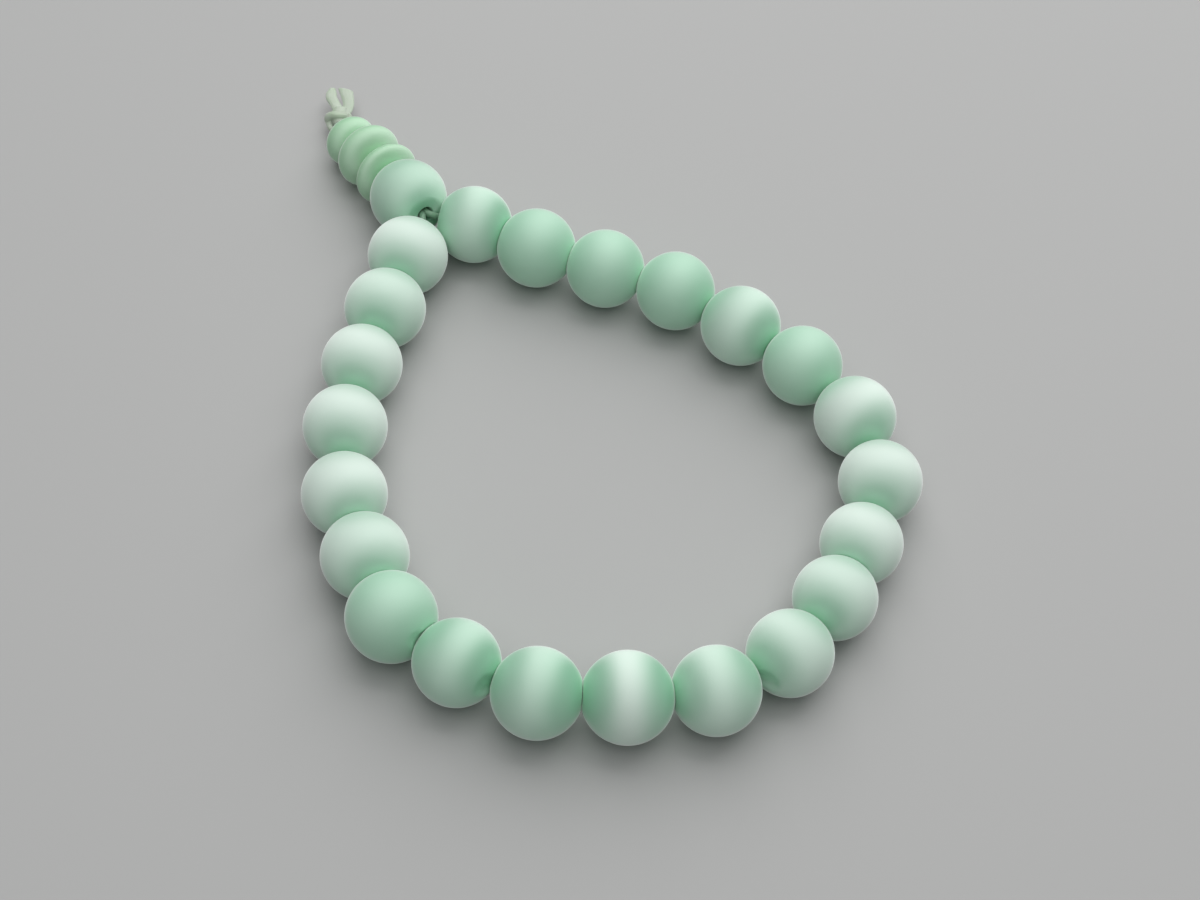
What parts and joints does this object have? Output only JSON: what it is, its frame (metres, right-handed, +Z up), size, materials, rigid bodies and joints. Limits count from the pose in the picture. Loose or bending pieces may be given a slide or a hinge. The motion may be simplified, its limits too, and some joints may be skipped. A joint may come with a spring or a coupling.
{
  "type": "beaded stretch bracelet",
  "caption": "Stretch bracelet of round satin mint beads on elastic cord, with a guru bead, low green spacer beads and a knotted tail, lying flat.",
  "frame": {"origin": "under the middle of the whole bracelet, on the surface that it lies on", "axes": "+Y along the tail, from the loop to the knot; +Z up from the surface; +X to the right, across the loop"},
  "size_m": [0.058, 0.0894, 0.0084],
  "materials": {
    "satin_mint": "satin ground mint stone or frosted glass",
    "satin_leaf": "satin ground yellower green stone or frosted glass",
    "milky_elastic": "milky half-clear elastic cord"
  },
  "bodies": {
    "root": {"bead_01": "satin_mint", "bead_02": "satin_mint", "bead_03": "satin_mint", "bead_04": "satin_mint", "bead_05": "satin_mint", "bead_06": "satin_mint", "bead_07": "satin_mint", "bead_08": "satin_mint", "bead_09": "satin_mint", "bead_10": "satin_mint", "bead_11": "satin_mint", "bead_12": "satin_mint", "bead_13": "satin_mint", "bead_14": "satin_mint", "bead_15": "satin_mint", "bead_16": "satin_mint", "bead_17": "satin_mint", "bead_18": "satin_mint", "bead_19": "satin_mint", "bead_20": "satin_mint", "bead_21": "satin_mint", "bead_22": "satin_mint", "guru_bead": "satin_mint", "rondelle_inner": "satin_leaf", "rondelle_middle": "satin_leaf", "rondelle_end": "satin_leaf", "elastic_cord": "milky_elastic", "end_knot": "milky_elastic"}
  },
  "joints": []
}
